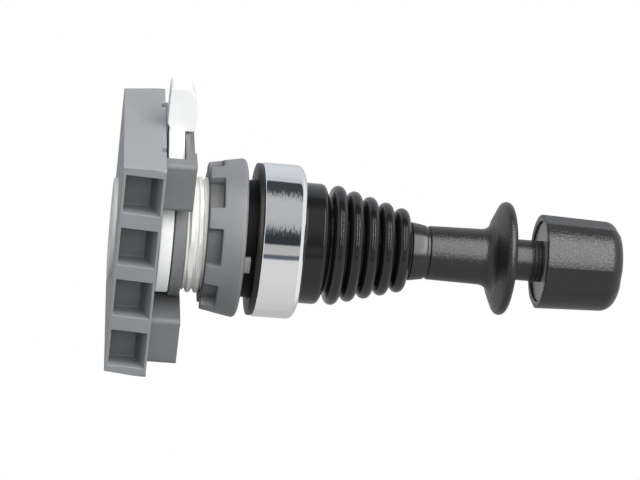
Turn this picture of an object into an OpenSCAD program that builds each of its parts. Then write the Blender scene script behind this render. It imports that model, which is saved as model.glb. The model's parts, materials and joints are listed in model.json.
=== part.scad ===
// Panel joystick head with a pull-up interlock collar, on a four-place contact block adapter.
// +Z runs along the stick, away from the panel. The panel's front face is the plane z = 0.
// The lock lever stands up along -X, and the wide faces of the adapter look along -Y and +Y.

/* [Panel fit] */
// Hole that the panel is drilled with
panel_hole_d = 22.5; // [22:0.1:30.5]
// Gap all round between the spigot and the hole
panel_hole_gap = 0.1; // [0.05:0.05:0.3]
// Gasket thickness
gasket_t = 1; // [0.5:0.1:2]
// Width of the anti-rotation nose
key_w = 3.1; // [2:0.1:4]
// Start of the nose below the panel face
key_start = 0.7; // [0.5:0.1:0.9]

/* [Chrome bezel] */
// Bezel outside diameter
bezel_d = 29.3; // [29:0.1:36]
// Height of its straight side
bezel_side_h = 6.8; // [5:0.1:9]
// Height of the bevel above the side
bevel_h = 1.8; // [1:0.1:2.5]
// Thickness of the straight side
bezel_wall = 1.75; // [1.4:0.05:1.8]
// How far in the bevel runs
bevel_w = 2.85; // [2:0.05:2.9]
// Flat lip between the bevel and the opening
bezel_lip = 0.15; // [0.1:0.05:0.3]

/* [Rubber boot] */
// Gap between the cuff and the bezel's opening
cuff_gap = 0.15; // [0.1:0.05:0.4]
// Thickness of the cuff
cuff_t = 1.9; // [1:0.1:2]
// Where the cuff ends
cuff_top_z = 13.5; // [12:0.1:14]
// Number of folds
folds = 5; // [3:1:6]
// Height of the first fold's crest
first_crest_z = 15.9; // [15:0.1:17]
// Height of the last fold's crest
last_crest_z = 28.4; // [27:0.1:28.6]
// Radius of the first crest
first_crest_r = 11.4; // [10:0.1:12]
// Radius of the last crest
last_crest_r = 8.1; // [7.8:0.1:9]
// How far each valley lies inside its crest
fold_depth = 2.5; // [1.5:0.1:2.5]
// Rubber thickness
boot_t = 0.8; // [0.6:0.1:1]

/* [Lever and gimbal] */
// Height of the gimbal's crossing point
pivot_z = 2.6; // [2.4:0.1:2.8]
// Lean of the stick each way
lean = 16; // [8:1:16]
// Shaft diameter inside the boot
shaft_d = 6; // [5.6:0.1:6.2]
// Shaft diameter that shows under the knob
shaft_top_d = 7.9; // [7.6:0.1:8]
// Gimbal ring thickness
gimbal_h = 3.2; // [2.8:0.1:3.2]
// Gimbal pin diameter
pin_d = 2; // [1.6:0.1:2.2]
// Distance of each switching plunger from the axis
plunger_r = 4.8; // [4.4:0.1:4.9]
// Plunger diameter
plunger_d = 3; // [2.6:0.1:3.2]

/* [Interlock collar] */
// Pull needed to free the stick
pull = 4.5; // [3:0.1:4.6]
// Collar diameter at its lower end
collar_d = 10.3; // [10:0.1:10.6]
// Collar diameter where the flare starts
collar_neck_d = 10.7; // [10.4:0.1:11]
// Flange diameter
flange_d = 21.8; // [18:0.1:24]
// Middle of the flange's rim
flange_z = 48.6; // [48:0.1:49]
// Radius of the rim's rounding
rim_r = 1; // [0.8:0.1:1.4]

/* [Knob] */
// Lower edge of the knob
knob_z = 55.65; // [55.4:0.05:58]
// Front end of the knob
knob_top_z = 70.9; // [70.5:0.1:76]
// Diameter across the round faces at the lower edge
knob_d = 18.1; // [17:0.1:24]
// Taper of the side, in degrees
knob_taper = 1.85; // [0:0.05:3]
// Rounding of the front edge
knob_round = 2.9; // [1:0.1:3]
// Width of each of the four narrow flats, in degrees round the axis
flat_arc = 29.5; // [20:0.5:40]

/* [Castellated nut] */
// Thread outside diameter
thread_d = 21.8; // [21.6:0.1:21.9]
// Nut diameter at its slotted end
nut_rear_d = 28; // [27:0.1:29]
// Nut diameter at the panel end
nut_front_d = 30.2; // [29:0.1:31]
// Nut height
nut_h = 7; // [5:0.1:7]
// Gap between the nut and the panel's front face, as fitted
nut_gap = 2.05; // [2.05:0.05:2.2]
// Number of spanner slots
slots = 8; // [4:1:12]
// Width of a slot, in degrees round the axis
slot_arc = 28.5; // [15:0.5:29]
// Depth of a slot along the axis
slot_deep = 2.6; // [2:0.1:3]
// Farthest travel down the thread, as far as the adapter
nut_back = 3.3; // [2:0.1:3.3]

/* [Contact block adapter] */
// Plate size across the lever, at its front
plate_x = 43.5; // [42:0.1:45]
// Plate size along the pockets' depth, at its front
plate_y = 35.2; // [34.6:0.1:36]
// How much smaller each end is at the rear
draft_x = 0.4; // [0:0.1:0.6]
// How much farther in each wide face is at the rear
draft_y = 0.75; // [0:0.05:0.9]
// Plate thickness
plate_t = 7.8; // [7.6:0.1:9]
// Rear face of the plate
plate_z = -26; // [-27:0.1:-26]
// Spacing of the contact block pockets
pocket_pitch = 10.7; // [10.5:0.1:10.7]
// Pocket width
pocket_w = 7.6; // [7:0.1:8]
// Pocket depth
pocket_deep = 4; // [3:0.1:6]
// Depth of the coupling blocks, side to side
block_y = 27; // [26:0.1:28]
// Distance of each block's inner face from the axis
block_in = 11.35; // [11.2:0.05:11.6]
// Distance of the blocks' outer faces from the axis
block_out = 21; // [20:0.1:21]
// Front face of the blocks
block_z = -12.55; // [-12.9:0.05:-12.4]

/* [Lock lever] */
// Angle from the lever to the near end of its slot
slot_near = 27; // [22:1:28]
// Width of the finger tab
tab_w = 5; // [4:0.1:6]
// Height of the tab above the axis
tab_top = 30; // [27:0.1:34]
// Radius of the ring's thumb pads
pad_r = 12.9; // [12.5:0.1:12.9]
// Swing from locked to free
lock_swing = 14; // [8:1:14]

/* [Hidden] */
$fn = 96;
eps = 0.01;
press_gap = 0.05;
run_gap = 0.05;
free_gap = 0.3;

barrel_r = 9.6;
barrel_bore_r = 8.2;
socket_bore_r = 9.3;
groove_r = 9;
groove_low_z = -17.4;
groove_top_z = -15.6;
thread_top_z = -2;
thread_flat_y = 10.35;
neck_r = 10.2;
neck_h = 1.2;
guide_z = -8.3;
guide_t = 1.8;
cap_t = 1.4;
barrel_end_z = plate_z - 0.7;

spigot_r = panel_hole_d / 2 - panel_hole_gap;
head_wall = 1.75;
head_bore_r = spigot_r - head_wall;
head_flange_t = 2;
gimbal_r = head_bore_r - 0.7;
gasket_r = bezel_d / 2 - 0.15;
seat_z = pivot_z + gimbal_h / 2 + gimbal_r * sin(lean) + free_gap;
seat_t = 0.4;
seat_bore_r = 7;
key_r = 12;
key_root = 10.4;
key_off = -0.5;

bezel_bore_r = bezel_d / 2 - bezel_wall;
head_r = bezel_bore_r - 2 * press_gap;
upstand_r = head_r - 0.4;
bezel_mouth_r = bezel_d / 2 - bevel_w - bezel_lip;
bezel_soft = 0.15;
bezel_step_z = gasket_t + bezel_side_h + 0.1;
bezel_top_z = gasket_t + bezel_side_h + bevel_h;

boot_flange_r = bezel_bore_r - free_gap;
cuff_r = bezel_mouth_r - cuff_gap;
cuff_bore_r = cuff_r - cuff_t;
boot_low_z = seat_z + seat_t;
boot_top_z = 30.3;
crest_step = (last_crest_z - first_crest_z) / (folds - 1);
crest_shrink = (first_crest_r - last_crest_r) / (folds - 1);
crest_r = 1.4;

gimbal_bore_r = 5.9;
gimbal_pin_in = gimbal_bore_r + 0.5;
gimbal_pin_out = upstand_r - 0.6;
boss_r = 4.4;
boss_h = 4.2;
tail_r = 2.6;
tail_end = 5.6;
rod_r = 1.5;
lever_pin_in = rod_r + 0.8;
// The rod's nose is as long as the plungers beside it allow at full lean.
rod_nose_r = 0.8;
rod_nose_h = 2.2;
rod_end_z = pivot_z - (plunger_r - plunger_d / 2 - free_gap - rod_nose_r * cos(lean)) / sin(lean);
shoulder_z = 43.6;
shaft_end_z = 57.8;
stud_r = 3;
stud_end_z = 67;
swash_t = 1.2;
swash_r = plunger_r + (tail_end + plunger_d / 2) * sin(lean) + free_gap;
swash_arm_w = 3;
swash_hub_r = 4;
// Idle gap that a lean both ways at once can't close.
plunger_gap = tail_end * (1 / cos(lean) / cos(lean) - 1)
    + plunger_r * (tan(lean) / cos(lean) - lean * PI / 180) + 0.2;
plunger_end_z = plate_z + 0.4;
stop_z = -11.6;
stop_r = 2.3;

ring_z = boot_top_z + press_gap;
ring_h = 3;
ring_r = 5.4;
ring_taper = 0.2;
ring_neck_r = 4.9;
ring_neck_h = 0.45;
spring_cap_z = 26.6;
spring_cap_t = 1.2;
spring_cap_r = 4.6;
spring_foot_r = seat_bore_r + 1;
wire_d = 0.8;

collar_z = ring_z + ring_h + ring_neck_h + 0.1;
collar_bore_r = 4.5;
collar_floor = 1.1;
counterbore_top_z = 44;
flare_r = 2.5;
rim_set = 1.1;
washer_t = 1.8;
washer_r = 4.4;
lock_pin_r = 0.7;
lock_pin_z = collar_z + collar_floor + washer_t / 2;

knob_rim_r = 7.8;
knob_recess = 0.5;
disc_t = 1.3;
disc_bore_r = shaft_top_d / 2 + 0.1;
disc_gap = 0.2;
bush_r = 5.4;
bush_z = 58;
bush_h = 8.5;
knob_turn = -7.5;

nut_front_z = -nut_gap;
nut_rear_z = nut_front_z - nut_h;
nut_hub_r = 12.5;
nut_hub_h = 0.15;
thread_low_z = nut_rear_z - nut_hub_h - nut_back - free_gap;
nut_round = 0.8;
nut_mouth_r = key_r + free_gap;
nut_mouth_h = 1.3;
nut_turn = 26;

plate_front_z = plate_z + plate_t;
pocket_wall = 0.65;
witness_y = 9.1;
witness_w = 1.8;
witness_deep = 2.6;
pocket_slope = 1.9;
pocket_floor_y = plate_y / 2 - draft_y / 2 - pocket_deep;
ring_out_r = 11.9;
ring_low_z = -15.2;
ring_top_z = -13;
cavity_r = 13.25;
notch_w = 15.8;
notch_deep = 1.05;
notch_in = 2.5;
slot_reach = block_out + 6;
lock_low_z = -17.85;
lock_top_z = -15.5;
lock_in_r = 9.95;
lock_out_r = 11.3;
lug_r = 9.3;
lug_arc = 20;
pad_near = 58;
pad_far = 150;
arm_end = 179.4 + slot_near;
arm_low_z = -17.6;
arm_top_z = -14.6;
slot_front_z = arm_top_z + 0.12;
arm_r = 20.95;
tab_arc = asin(tab_w / arm_r);
tab_root = arm_r - 0.8;
tab_neck = arm_r + 0.35;
tab_rear_z = arm_low_z - 0.45;
tab_soft = 0.45;
lip_z = block_z - 0.15;
lip_drop = 0.85;
lip_high = tab_top - 5.5;
slot_far = tab_arc + lock_swing + 0.8;

// A tube standing on the plane z = low.
module tube(r_out, r_in, low, high) {
    translate([0, 0, low])
        difference() {
            cylinder(r = r_out, h = high - low);
            translate([0, 0, -1])
                cylinder(r = r_in, h = high - low + 2);
        }
}

module rod(r, low, high) {
    translate([0, 0, low])
        cylinder(r = r, h = high - low);
}

// A rectangle with round corners, still made of exact lines and arcs.
module soft_rectangle(x, y, r) {
    square([x - 2 * r, y], center = true);
    square([x, y - 2 * r], center = true);
    for (sx = [-1, 1], sy = [-1, 1])
        translate([sx * (x / 2 - r), sy * (y / 2 - r)])
            circle(r = r);
}

// A flat wedge with its tip on the axis, from one angle to another.
module wedge(from, to, reach) {
    polygon([
        [0, 0],
        reach * [cos(from), sin(from)],
        reach * [cos((from + to) / 2), sin((from + to) / 2)] / cos((to - from) / 2),
        reach * [cos(to), sin(to)]
    ]);
}

// The sector between two radii.
module sector(r_in, r_out, from, to) {
    intersection() {
        difference() {
            circle(r = r_out);
            circle(r = r_in);
        }
        wedge(from, to, 1.1 * r_out);
    }
}

// The clip pockets: four in a row on each wide face, their front walls sloping in.
module clip_pocket() {
    outer = plate_y / 2;
    mouth_top = plate_front_z - 0.45;
    wall_z = plate_z + pocket_wall;
    translate([pocket_w / 2, 0, 0])
        rotate([90, 0, -90])
            linear_extrude(pocket_w)
                polygon([
                    [-outer - 1, wall_z],
                    [-pocket_floor_y, wall_z],
                    [-pocket_floor_y, mouth_top - pocket_slope],
                    [-outer, mouth_top],
                    [-outer - 1, mouth_top]
                ]);
}

// What the draft takes off one side of the plate: it turns about the front edge.
module draft_cut(half, other, draft) {
    translate([half, 0, plate_front_z])
        rotate([0, atan(draft / plate_t), 0])
            translate([0, -other, -2 * plate_t])
                cube([plate_t, 2 * other, 3 * plate_t]);
}

module adapter_plate() {
    color([0.62, 0.64, 0.66])
        difference() {
            translate([0, 0, plate_z])
                linear_extrude(plate_t)
                    soft_rectangle(plate_x, plate_y, 0.6);
            rod(barrel_r + press_gap, plate_z - 1, plate_front_z + 1);
            for (turn = [0, 180], place = [-1.5:1:1.5])
                rotate([0, 0, turn])
                    translate([place * pocket_pitch, 0, 0])
                        clip_pocket();
            for (turn = [0, 180])
                rotate([0, 0, turn]) {
                    draft_cut(plate_x / 2, plate_y, draft_x);
                    rotate([0, 0, 90])
                        draft_cut(plate_y / 2, plate_x, draft_y);
                }
            // Two witness notches in the front edge, beside the lever's slot.
            for (y = [-witness_y, witness_y + 0.9])
                translate([-plate_x / 2 - 1, y - witness_w / 2, plate_front_z - 0.75])
                    cube([witness_deep + 1, witness_w, 1]);
            // Keyway for the barrel.
            translate([-1.2, barrel_r - 1, plate_z - 1])
                cube([2.4, 1.6, plate_t + 2]);
        }
}

// Two blocks on a ring: the lock ring turns in the hollow behind them.
module coupling_housing() {
    height = block_z - plate_front_z;
    width = block_out - block_in;
    color([0.5, 0.52, 0.54])
        difference() {
            union() {
                tube(ring_out_r, barrel_r + press_gap, ring_low_z, ring_top_z);
                for (side = [-1, 1])
                    translate([side * (block_in + width / 2), 0, plate_front_z])
                        linear_extrude(height)
                            soft_rectangle(width, block_y, 1);
            }
            // The lock ring's seat, wider where its thumb pads and its tab's root swing.
            rod(lock_out_r + free_gap, plate_front_z - 1, ring_low_z);
            translate([0, 0, plate_front_z - 1])
                linear_extrude(ring_low_z - plate_front_z + 1) {
                    for (turn = [0, 180])
                        rotate(turn)
                            sector(lock_out_r, cavity_r, -pad_far - lock_swing - 3, 3 - pad_near);
                    sector(lock_out_r, cavity_r, 180 - slot_far, 180 + slot_near);
                }
            rod(barrel_r + press_gap, plate_front_z - 1, block_z + 1);
            // Slot for the lever.
            translate([0, 0, plate_front_z - 1])
                linear_extrude(slot_front_z - plate_front_z + 1)
                    sector(ring_out_r + 0.2, slot_reach, 180 - slot_far, 180 + slot_near);
            // Notch in front of the slot, cut low on the far side where the tab's lip swings.
            translate([-block_out - 1, -notch_w / 2, block_z - notch_deep])
                cube([notch_in + 1, notch_w, notch_deep + 1]);
            translate([0, 0, slot_front_z - 1])
                linear_extrude(block_z - slot_front_z + 2)
                    sector(arm_r - press_gap, slot_reach, 180 - slot_far - 5, 181);
        }
}

module threaded_sleeve() {
    color([0.86, 0.87, 0.82])
        difference() {
            union() {
                rod(barrel_r, barrel_end_z, thread_low_z);
                intersection() {
                    rod(thread_d / 2, thread_low_z, thread_top_z);
                    translate([0, 0, thread_top_z])
                        cube([thread_d + 2, 2 * thread_flat_y, 40], center = true);
                }
                rod(neck_r, thread_top_z - eps, thread_top_z + neck_h);
            }
            rod(barrel_bore_r, barrel_end_z - 1, guide_z);
            rod(socket_bore_r, guide_z, thread_top_z + neck_h + 1);
            tube(barrel_r + 1, groove_r, groove_low_z, groove_top_z);
        }
}

module four_ways() {
    for (turn = [0:90:270])
        rotate([0, 0, turn])
            translate([plunger_r, 0, 0])
                children();
}

module barrel_cap() {
    color([0.9, 0.9, 0.87])
        difference() {
            rod(barrel_bore_r - press_gap, barrel_end_z, plate_z + cap_t);
            four_ways()
                rod(plunger_d / 2 + run_gap, barrel_end_z - 1, plate_z + cap_t + 1);
        }
}

// Guides the four plungers and holds the socket that the lock rod drops into.
module guide_plate() {
    color([0.9, 0.9, 0.87])
        difference() {
            rod(socket_bore_r - press_gap, guide_z, guide_z + guide_t);
            four_ways()
                rod(plunger_d / 2 + run_gap, guide_z - 1, guide_z + guide_t + 1);
            rod(rod_nose_r + 0.2, guide_z - 1, guide_z + guide_t + 1);
        }
}

module pin_bores(r, reach, turn) {
    for (side = [0, 180])
        translate([0, 0, pivot_z])
            rotate([0, 90, turn + side])
                cylinder(r = r, h = reach);
}

// Seat of the anti-rotation nose in the spigot's side, or the nose itself with a gap round it.
module key_block(gap) {
    translate([key_off - key_w / 2 + gap, -key_r - 1, thread_top_z])
        cube([key_w - 2 * gap, key_r + 1 - key_root - gap, -thread_top_z - key_start]);
}

module joystick_head() {
    color([0.07, 0.07, 0.07])
        difference() {
            union() {
                rod(spigot_r, thread_top_z, gasket_t);
                rod(head_r, gasket_t, gasket_t + head_flange_t);
                rod(upstand_r, gasket_t + head_flange_t - eps, seat_z);
            }
            rod(head_bore_r, thread_top_z - 1, seat_z + 1);
            rod(neck_r + press_gap, thread_top_z - 1, thread_top_z + neck_h);
            pin_bores(pin_d / 2 + press_gap, gimbal_pin_out + 0.1, 0);
            key_block(0);
        }
}

module key_nose() {
    color([0.6, 0.61, 0.6])
        intersection() {
            rod(key_r, thread_top_z, -key_start);
            key_block(press_gap);
        }
}

// The gasket is notched so that it slips over the nose.
module gasket() {
    color([0.06, 0.06, 0.06])
        difference() {
            tube(gasket_r, spigot_r + press_gap, 0, gasket_t);
            translate([key_off - key_w / 2 - press_gap, -key_r - press_gap, -1])
                cube([key_w + 2 * press_gap, key_r, gasket_t + 2]);
        }
}

module bezel() {
    side_top = gasket_t + bezel_side_h;
    color([0.8, 0.8, 0.82])
        rotate_extrude()
            polygon([
                [bezel_bore_r, gasket_t],
                [bezel_d / 2 - bezel_soft, gasket_t],
                [bezel_d / 2, gasket_t + bezel_soft],
                [bezel_d / 2, side_top],
                [bezel_d / 2 - bevel_w, bezel_top_z],
                [bezel_mouth_r, bezel_top_z],
                [bezel_mouth_r, bezel_step_z],
                [bezel_bore_r, bezel_step_z]
            ]);
}

module spring_seat() {
    color([0.6, 0.6, 0.6])
        tube(boot_flange_r, seat_bore_r, seat_z, seat_z + seat_t);
}

module gimbal_pins() {
    color([0.6, 0.6, 0.62])
        for (side = [0, 180])
            translate([0, 0, pivot_z])
                rotate([0, 90, side])
                    translate([0, 0, gimbal_pin_in])
                        cylinder(r = pin_d / 2, h = gimbal_pin_out - gimbal_pin_in);
}

// Rounded crests and sharp valleys, going up; width is each crest's share along the axis.
function crest(i) = [first_crest_r - i * crest_shrink, first_crest_z + i * crest_step];
function valley(i) = crest(i) - [fold_depth + crest_shrink / 2, -crest_step / 2];
function fold_line(inset, width) = [
    for (i = [0:folds - 1])
        each [
            valley(i - 1) - [inset, 0],
            for (a = [-75:30:75])
                crest(i) + [crest_r * (cos(a) - 1) - inset, width * crest_r * sin(a)]
        ]
];
function backwards(points) = [for (i = [len(points) - 1:-1:0]) points[i]];

// Rubber bellows: clamped under the bezel, gripped round the shaft at its top.
module boot() {
    neck_r_in = shaft_d / 2 + press_gap;
    color([0.06, 0.06, 0.06])
        rotate_extrude()
            polygon(concat(
                [
                    [cuff_bore_r, boot_low_z],
                    [boot_flange_r, boot_low_z],
                    [boot_flange_r, bezel_step_z],
                    [cuff_r, bezel_step_z],
                    [cuff_r, cuff_top_z - 1],
                    [cuff_r - 0.35, cuff_top_z - 0.3],
                    [cuff_r - 1, cuff_top_z]
                ],
                fold_line(0, 1),
                [
                    [ring_r - 0.2, boot_top_z],
                    [neck_r_in, boot_top_z],
                    [neck_r_in, boot_top_z - boot_t],
                    [ring_r - 0.5, boot_top_z - boot_t]
                ],
                backwards(fold_line(boot_t, 0.5)),
                [[cuff_bore_r, cuff_top_z - 1]]
            ));
}

module lock_ring() {
    color([0.9, 0.9, 0.88])
        union() {
            tube(lock_out_r, lock_in_r, lock_low_z, lock_top_z);
            // Thumb pads that show between the blocks.
            translate([0, 0, lock_low_z])
                linear_extrude(lock_top_z - lock_low_z)
                    for (turn = [0, 180])
                        rotate(turn)
                            sector(lock_out_r - 0.5, pad_r, -pad_far, -pad_near);
            // Lugs that hold the barrel by its groove.
            translate([0, 0, lock_low_z + 0.75])
                linear_extrude(1.1)
                    for (turn = [0, 180])
                        rotate(turn)
                            sector(lug_r, lock_in_r + 0.5, -lug_arc, lug_arc);
            translate([0, 0, arm_low_z])
                linear_extrude(arm_top_z - arm_low_z)
                    sector(pad_r - 0.4, arm_r, 180 - tab_arc, arm_end);
            translate([0, 0, arm_low_z])
                linear_extrude(lock_top_z - arm_low_z)
                    sector(lock_out_r - 0.5, pad_r, 180 - tab_arc, arm_end);
            // Finger tab with its front lip.
            translate([0, tab_w, 0])
                rotate([90, 0, 0])
                    linear_extrude(tab_w)
                        polygon([
                            [-tab_root, arm_low_z],
                            [-tab_neck - 0.6, arm_low_z],
                            [-tab_neck - 1.4, tab_rear_z],
                            [-tab_top + tab_soft, tab_rear_z],
                            [-tab_top, tab_rear_z + tab_soft],
                            [-tab_top, lip_z - 2 * lip_drop],
                            [-tab_top + 1.5 * lip_drop, lip_z - lip_drop],
                            [-lip_high, lip_z],
                            [-tab_neck - tab_soft, lip_z - 0.1],
                            [-tab_neck, lip_z - tab_soft],
                            [-tab_neck, arm_top_z],
                            [-tab_root, arm_top_z]
                        ]);
        }
}

// Coned nut with spanner slots that open to the rear and show the hub inside.
module panel_nut() {
    half = slot_arc / 2;
    color([0.5, 0.51, 0.53])
        difference() {
            rotate_extrude()
                polygon(concat(
                    [
                        [thread_d / 2 + run_gap, nut_rear_z - nut_hub_h],
                        [nut_hub_r - 0.3, nut_rear_z - nut_hub_h],
                        [nut_hub_r - 0.3, nut_rear_z],
                        [nut_rear_d / 2, nut_rear_z]
                    ],
                    [
                        for (a = [0:30:90])
                            [
                                nut_front_d / 2 - nut_round * (1 - cos(a)),
                                nut_front_z - nut_round * (1 - sin(a))
                            ]
                    ],
                    [
                        [nut_mouth_r, nut_front_z],
                        [nut_mouth_r, nut_front_z - nut_mouth_h],
                        [thread_d / 2 + run_gap, nut_front_z - nut_mouth_h]
                    ]
                ));
            for (i = [0:slots - 1])
                rotate([0, 0, nut_turn + i * 360 / slots])
                    translate([0, 0, nut_rear_z - 1])
                        linear_extrude(slot_deep + 1)
                            sector(nut_hub_r, nut_front_d / 2 + 1, -half, half);
        }
}

module gimbal_ring() {
    color([0.55, 0.56, 0.58])
        difference() {
            tube(gimbal_r, gimbal_bore_r, pivot_z - gimbal_h / 2, pivot_z + gimbal_h / 2);
            pin_bores(pin_d / 2 + run_gap, gimbal_r + 1, 0);
            pin_bores(pin_d / 2 + run_gap, gimbal_r + 1, 90);
        }
}

module lever_shaft() {
    slot_low = lock_pin_z - lock_pin_r - 0.1;
    color([0.16, 0.16, 0.17])
        difference() {
            union() {
                rod(tail_r, pivot_z - tail_end, pivot_z);
                rod(boss_r, pivot_z - boss_h / 2, pivot_z + boss_h / 2);
                rod(shaft_d / 2, pivot_z, shoulder_z);
                rod(shaft_top_d / 2, shoulder_z, shaft_end_z);
                rod(stud_r, shaft_end_z - eps, stud_end_z);
            }
            rod(rod_r + run_gap, pivot_z - tail_end - 1, shoulder_z - 1);
            pin_bores(pin_d / 2 + press_gap, boss_r + 1, 90);
            translate([-shaft_d, -lock_pin_r - 0.1, slot_low])
                cube([2 * shaft_d, 2 * lock_pin_r + 0.2, pull + 2 * lock_pin_r + 0.3]);
        }
}

module lever_pins() {
    color([0.6, 0.6, 0.62])
        for (side = [90, 270])
            translate([0, 0, pivot_z])
                rotate([0, 90, side])
                    translate([0, 0, lever_pin_in])
                        cylinder(r = pin_d / 2, h = gimbal_r - lever_pin_in - 0.5);
}

// Cross that rocks with the stick and presses the plungers.
module swash_plate() {
    low = pivot_z - tail_end;
    color([0.85, 0.85, 0.82])
        difference() {
            union() {
                rod(swash_hub_r, low, low + swash_t);
                for (turn = [0, 90])
                    rotate([0, 0, turn])
                        translate([-swash_r, -swash_arm_w / 2, low])
                            cube([2 * swash_r, swash_arm_w, swash_t]);
            }
            rod(tail_r + press_gap, low - 1, low + swash_t + 1);
        }
}

module spring_cap() {
    color([0.6, 0.6, 0.6])
        tube(spring_cap_r, shaft_d / 2 + press_gap, spring_cap_z, spring_cap_z + spring_cap_t);
}

// Coned centring spring, drawn as the sleeve that its coil fills.
module return_spring() {
    low = boot_low_z + press_gap;
    height = spring_cap_z - low;
    color([0.7, 0.7, 0.72])
        translate([0, 0, low])
            difference() {
                cylinder(r1 = spring_foot_r, r2 = spring_cap_r - 0.2, h = height);
                cylinder(r1 = spring_foot_r - wire_d, r2 = spring_cap_r - 0.2 - wire_d, h = height);
            }
}

module boot_ring() {
    color([0.12, 0.12, 0.12])
        difference() {
            union() {
                translate([0, 0, ring_z])
                    cylinder(r1 = ring_r + ring_taper, r2 = ring_r - ring_taper, h = ring_h);
                rod(ring_neck_r, ring_z, ring_z + ring_h + ring_neck_h);
            }
            rod(shaft_d / 2 + press_gap, ring_z - 1, collar_z + 1);
        }
}

// Side profile of the knob, from its lower edge round to the middle of its front.
function knob_side_r(z) = knob_d / 2 - (z - knob_z) * tan(knob_taper);

module knob() {
    round_z = knob_top_z - knob_round;
    centre_r = knob_side_r(round_z) - knob_round;
    flat_at = knob_d / 2 * cos(flat_arc / 2);
    color([0.13, 0.13, 0.14])
        difference() {
            rotate_extrude()
                polygon(concat(
                    [
                        [0, knob_z],
                        [knob_d / 2 - 0.2, knob_z],
                        [knob_d / 2, knob_z + 0.2]
                    ],
                    [
                        for (a = [0:15:90])
                            [centre_r + knob_round * cos(a), round_z + knob_round * sin(a)]
                    ],
                    [[0, knob_top_z]]
                ));
            rod(knob_rim_r, knob_z - 1, knob_z + knob_recess + disc_t);
            rod(disc_bore_r, knob_z, bush_z);
            rod(bush_r + press_gap, bush_z - eps, bush_z + bush_h + 0.6);
            for (i = [0:3])
                rotate([0, 0, knob_turn + 90 * i])
                    translate([flat_at, -knob_d, knob_z])
                        rotate([0, -knob_taper, 0])
                            translate([0, 0, -2])
                                cube([knob_d, 2 * knob_d, 2 * (knob_top_z - knob_z)]);
        }
}

module knob_disc() {
    low = knob_z + knob_recess;
    color([0.42, 0.42, 0.43])
        tube(knob_rim_r - disc_gap, disc_bore_r, low, low + disc_t);
}

module knob_bush() {
    color([0.72, 0.58, 0.3])
        tube(bush_r, stud_r + press_gap, bush_z, bush_z + bush_h);
}

// Pull collar: a thin tube over the lock spring, flared into a finger flange.
module interlock_collar() {
    flare_z = flange_z - flare_r - rim_r - rim_set;
    rim_x = flange_d / 2 - rim_r;
    face_z = flange_z + rim_r;
    slide_r = shaft_top_d / 2 + run_gap;
    flare_x = collar_neck_d / 2 + flare_r;
    color([0.13, 0.13, 0.14])
        rotate_extrude()
            difference() {
                union() {
                    polygon(concat(
                        [
                            [shaft_d / 2 + run_gap, collar_z],
                            [collar_d / 2, collar_z],
                            [collar_neck_d / 2, flare_z]
                        ],
                        [
                            for (a = [15:15:90])
                                [flare_x - flare_r * cos(a), flare_z + flare_r * sin(a)]
                        ],
                        [
                            [rim_x + rim_r * cos(60), flange_z - rim_r * sin(60)],
                            [rim_x, flange_z],
                            [rim_x, face_z],
                            [shaft_d / 2 + run_gap, face_z]
                        ]
                    ));
                    translate([rim_x, flange_z])
                        circle(r = rim_r);
                }
                translate([-1, collar_z + collar_floor])
                    square([collar_bore_r + 1, counterbore_top_z - collar_z - collar_floor]);
                translate([-1, counterbore_top_z - 1])
                    square([slide_r + 1, 20]);
            }
}

module spring_washer() {
    low = collar_z + collar_floor;
    color([0.6, 0.6, 0.62])
        difference() {
            tube(washer_r, shaft_d / 2 + run_gap, low, low + washer_t);
            translate([0, 0, lock_pin_z])
                rotate([0, 90, 0])
                    cylinder(r = lock_pin_r + press_gap, h = 3 * washer_r, center = true);
        }
}

module lock_pin() {
    color([0.6, 0.6, 0.62])
        translate([0, 0, lock_pin_z])
            rotate([0, 90, 0])
                cylinder(r = lock_pin_r, h = 2 * washer_r - 0.2, center = true);
}

module lock_rod() {
    color([0.6, 0.6, 0.62])
        difference() {
            union() {
                rod(rod_nose_r, rod_end_z, rod_end_z + rod_nose_h);
                rod(rod_r, rod_end_z + rod_nose_h - eps, lock_pin_z + 1.6);
            }
            translate([0, 0, lock_pin_z])
                rotate([0, 90, 0])
                    cylinder(r = lock_pin_r + press_gap, h = 3 * rod_r, center = true);
        }
}

// Lock spring, drawn as the sleeve that its coil fills.
module interlock_spring() {
    color([0.7, 0.7, 0.72])
        tube(
            collar_bore_r - free_gap,
            shaft_d / 2 + free_gap,
            collar_z + collar_floor + washer_t,
            shoulder_z - press_gap
        );
}

module plunger(turn) {
    tip_z = pivot_z - tail_end - plunger_gap;
    r = plunger_d / 2;
    color([0.92, 0.92, 0.9])
        rotate([0, 0, turn])
            translate([plunger_r, 0, 0])
                union() {
                    rod(r, plunger_end_z, tip_z - r);
                    rod(stop_r, stop_z, stop_z + 1);
                    translate([0, 0, tip_z - r])
                        sphere(r = r);
                }
}

adapter_plate();
coupling_housing();
threaded_sleeve();
barrel_cap();
guide_plate();
joystick_head();
key_nose();
gasket();
bezel();
spring_seat();
gimbal_pins();
boot();
lock_ring();
panel_nut();
gimbal_ring();
lever_shaft();
lever_pins();
swash_plate();
spring_cap();
return_spring();
boot_ring();
knob();
knob_disc();
knob_bush();
interlock_collar();
spring_washer();
lock_pin();
lock_rod();
interlock_spring();
plunger(0);  // plunger_xp
plunger(180);  // plunger_xn
plunger(90);  // plunger_yp
plunger(270);  // plunger_yn
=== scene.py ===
import json
import math

import bmesh
import bpy
from mathutils import Matrix, Vector
from mathutils.bvhtree import BVHTree


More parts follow.
